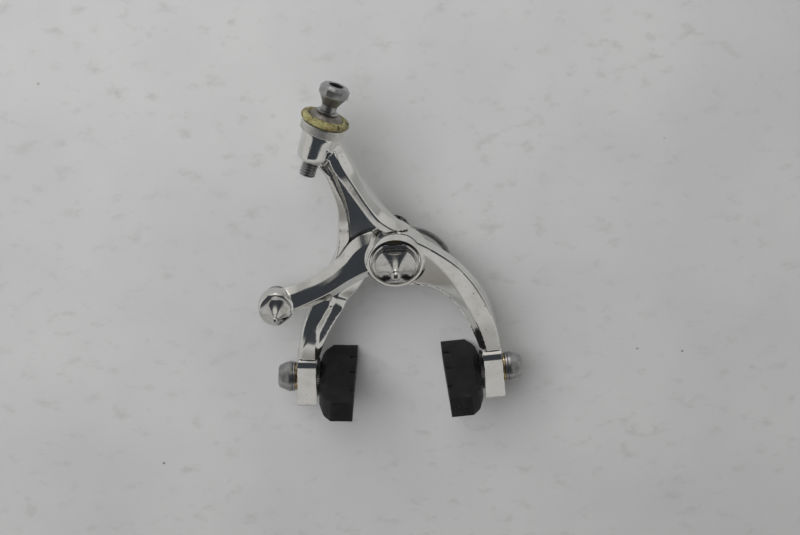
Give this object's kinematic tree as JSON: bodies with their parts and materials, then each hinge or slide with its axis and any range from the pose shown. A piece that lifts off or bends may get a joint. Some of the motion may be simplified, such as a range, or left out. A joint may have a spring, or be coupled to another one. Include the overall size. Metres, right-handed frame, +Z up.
{
  "type": "caliper brake",
  "caption": "Side-pull bicycle rim brake: two polished arms on a centre bolt, rubber brake shoes, cable adjuster and cable anchor.",
  "frame": {"origin": "on the centre bolt's axis, in the plane where the brake seats against the fork or brake bridge", "axes": "+Z up, the front of the brake faces -Y, the mounting stud points to +Y"},
  "size_m": [0.099, 0.0479, 0.1315],
  "materials": {
    "polished_arm": "polished, with fine scratches",
    "bright_nut": "polished",
    "plated_steel": "satin plated steel",
    "dark_steel": "dark oiled steel",
    "brass": "dull brass",
    "grey_metal": "dark grey, dull",
    "aged_rubber": "aged yellow-green rubber with dirt",
    "knurled_metal": "fine knurling",
    "black_rubber": "matte",
    "satin_steel": "satin"
  },
  "bodies": {
    "mount": {"centre_bolt": "dark_steel", "toothed_washer": "dark_steel", "spring_carrier": "dark_steel", "return_spring": "dark_steel", "rear_pivot_washer": "brass", "middle_pivot_washer": "brass", "front_pivot_washer": "brass", "lock_ring": "bright_nut", "nose_nut": "bright_nut"},
    "rear_arm": {"rear_arm": "polished_arm"},
    "front_arm": {"front_arm": "polished_arm", "anchor_bolt": "plated_steel", "cable_washer": "plated_steel", "anchor_nut": "bright_nut"},
    "adjuster_nut": {"adjuster_nut": "knurled_metal", "adjuster_cap": "grey_metal", "adjuster_o_ring": "aged_rubber"},
    "adjuster_barrel": {"adjuster_barrel": "bright_nut"},
    "left_washers": {"left_serrated_washer": "dark_steel", "left_brass_washer": "brass", "left_steel_washer": "plated_steel"},
    "left_shoe": {"left_brake_pad": "black_rubber", "left_pad_stud": "plated_steel", "left_pad_nut": "satin_steel"},
    "right_washers": {"right_serrated_washer": "dark_steel", "right_brass_washer": "brass", "right_steel_washer": "plated_steel"},
    "right_shoe": {"right_brake_pad": "black_rubber", "right_pad_stud": "plated_steel", "right_pad_nut": "satin_steel"}
  },
  "joints": [
    {"name": "front_arm_turn", "type": "hinge", "parent": "mount", "child": "front_arm", "pos_m": [0, -0.015, 0], "axis": [0, 1, 0], "range_deg": [0, 10], "stiffness_Nm_per_rad": 0.6, "springref_deg": -20.05, "deforming": ["return_spring"]},
    {"name": "rear_arm_turn", "type": "hinge", "parent": "mount", "child": "rear_arm", "pos_m": [0, -0.0083, 0], "axis": [0, -1, 0], "range_deg": [0, 10], "stiffness_Nm_per_rad": 0.6, "springref_deg": -20.05},
    {"name": "adjuster_barrel_rise", "type": "slide", "parent": "rear_arm", "child": "adjuster_barrel", "axis": [0.3584, 0.1299, 0.9245], "range_m": [0, 0.006]},
    {"name": "adjuster_nut_turn", "type": "hinge", "parent": "rear_arm", "child": "adjuster_nut", "pos_m": [-0.02403, -0.01029, 0.05008], "axis": [0.3584, 0.1299, 0.9245], "range_deg": [0, 2160]},
    {"name": "left_shoe_height", "type": "slide", "parent": "rear_arm", "child": "left_washers", "axis": [0.0698, 0, 0.9976], "range_m": [-0.0035, 0.0035]},
    {"name": "left_shoe_swivel", "type": "hinge", "parent": "left_washers", "child": "left_shoe", "pos_m": [-0.03211, -0.012, -0.05287], "axis": [0.9976, 0, -0.0698], "range_deg": [-8, 8]},
    {"name": "right_shoe_height", "type": "slide", "parent": "front_arm", "child": "right_washers", "axis": [-0.0698, 0, 0.9976], "range_m": [-0.0035, 0.0035]},
    {"name": "right_shoe_swivel", "type": "hinge", "parent": "right_washers", "child": "right_shoe", "pos_m": [0.03211, -0.012, -0.05287], "axis": [-0.9976, 0, -0.0698], "range_deg": [-8, 8]}
  ],
  "couplings": [
    {"joint": "rear_arm_turn", "follows": "front_arm_turn", "ratio": 1},
    {"joint": "adjuster_nut_turn", "follows": "adjuster_barrel_rise", "rad_per_m": 6283.2}
  ]
}
